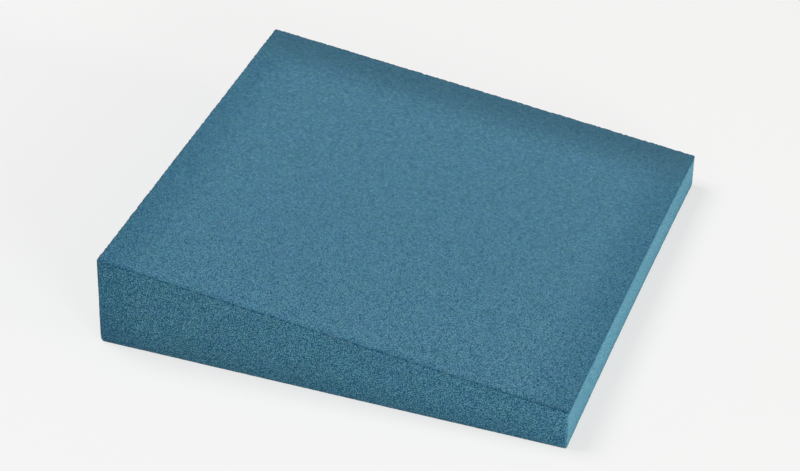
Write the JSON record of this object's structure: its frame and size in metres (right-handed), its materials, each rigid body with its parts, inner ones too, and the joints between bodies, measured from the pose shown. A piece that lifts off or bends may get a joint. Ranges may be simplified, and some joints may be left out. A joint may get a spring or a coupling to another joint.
{
  "type": "acoustic foam wall tile",
  "caption": "Square soft-foam wall tile with a flat back and one plane sloping face, thick along one side and thin along the other.",
  "frame": {"origin": "centre of the flat back face, which lies on the surface", "axes": "+X from the thick edge to the thin edge, +Y from the front edge to the slightly lower back edge, +Z out of the wall"},
  "size_m": [0.3, 0.3, 0.0607],
  "materials": {
    "foam": "matt, fine open cells, cut not moulded"
  },
  "bodies": {
    "root": {"foam_tile": "foam"}
  },
  "joints": []
}
